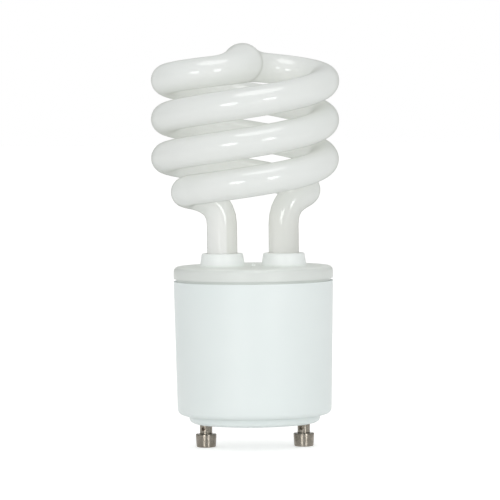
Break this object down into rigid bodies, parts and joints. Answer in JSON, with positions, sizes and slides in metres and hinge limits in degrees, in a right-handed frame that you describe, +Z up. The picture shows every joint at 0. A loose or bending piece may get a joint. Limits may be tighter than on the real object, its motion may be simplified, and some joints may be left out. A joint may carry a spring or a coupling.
{
  "type": "spiral compact fluorescent lamp",
  "caption": "Self-ballasted lamp: a white double-helix glass tube on a round plastic ballast housing with two headed twist-lock contact pins.",
  "frame": {"origin": "midway between the two contact pins, in the plane of the boss's underside, which seats against the lamp holder", "axes": "+Z up along the housing toward the glass, the contact pins on X, -Y toward the viewer"},
  "size_m": [0.0462, 0.0463, 0.0989],
  "materials": {
    "discharge_tube": "clear glass coated white inside",
    "lid": "moulded thermoplastic, satin",
    "housing": "moulded thermoplastic, satin",
    "contact_pin_left": "turned, nickel plated",
    "contact_pin_right": "turned, nickel plated",
    "tube_cement_left": "set cement, matt",
    "tube_cement_right": "set cement, matt",
    "circuit_board": "phenolic laminate",
    "wire_wrap_posts": "tinned",
    "lamp_leads_left": "tinned wire",
    "lamp_leads_right": "tinned wire",
    "bulk_capacitor": "sleeved can",
    "choke_core_upper": "sintered ferrite",
    "choke_core_lower": "sintered ferrite",
    "choke_bobbin": "moulded nylon",
    "choke_winding": "enamelled copper wire",
    "drive_transformer_core": "coated ferrite ring",
    "drive_transformer_windings": "insulated wire",
    "transistor_high_side": "moulded epoxy",
    "transistor_low_side": "moulded epoxy",
    "resonant_capacitor": "dipped film capacitor",
    "dc_block_capacitor": "boxed film capacitor",
    "filter_choke_core": "sintered ferrite",
    "filter_choke_winding": "enamelled copper wire",
    "fuse_resistor": "coated ceramic rod",
    "rectifier_diodes": "moulded epoxy",
    "signal_resistors": "lacquered ceramic rod",
    "trigger_diac": "sealed glass bead",
    "mains_wire_left": "insulated wire",
    "mains_wire_right": "insulated wire"
  },
  "bodies": {
    "root": {"discharge_tube": "discharge_tube", "lid": "lid", "housing": "housing", "contact_pin_left": "contact_pin_left", "contact_pin_right": "contact_pin_right", "tube_cement_left": "tube_cement_left", "tube_cement_right": "tube_cement_right", "circuit_board": "circuit_board", "wire_wrap_posts": "wire_wrap_posts", "lamp_leads_left": "lamp_leads_left", "lamp_leads_right": "lamp_leads_right", "bulk_capacitor": "bulk_capacitor", "choke_core_upper": "choke_core_upper", "choke_core_lower": "choke_core_lower", "choke_bobbin": "choke_bobbin", "choke_winding": "choke_winding", "drive_transformer_core": "drive_transformer_core", "drive_transformer_windings": "drive_transformer_windings", "transistor_high_side": "transistor_high_side", "transistor_low_side": "transistor_low_side", "resonant_capacitor": "resonant_capacitor", "dc_block_capacitor": "dc_block_capacitor", "filter_choke_core": "filter_choke_core", "filter_choke_winding": "filter_choke_winding", "fuse_resistor": "fuse_resistor", "rectifier_diodes": "rectifier_diodes", "signal_resistors": "signal_resistors", "trigger_diac": "trigger_diac", "mains_wire_left": "mains_wire_left", "mains_wire_right": "mains_wire_right"}
  },
  "joints": []
}
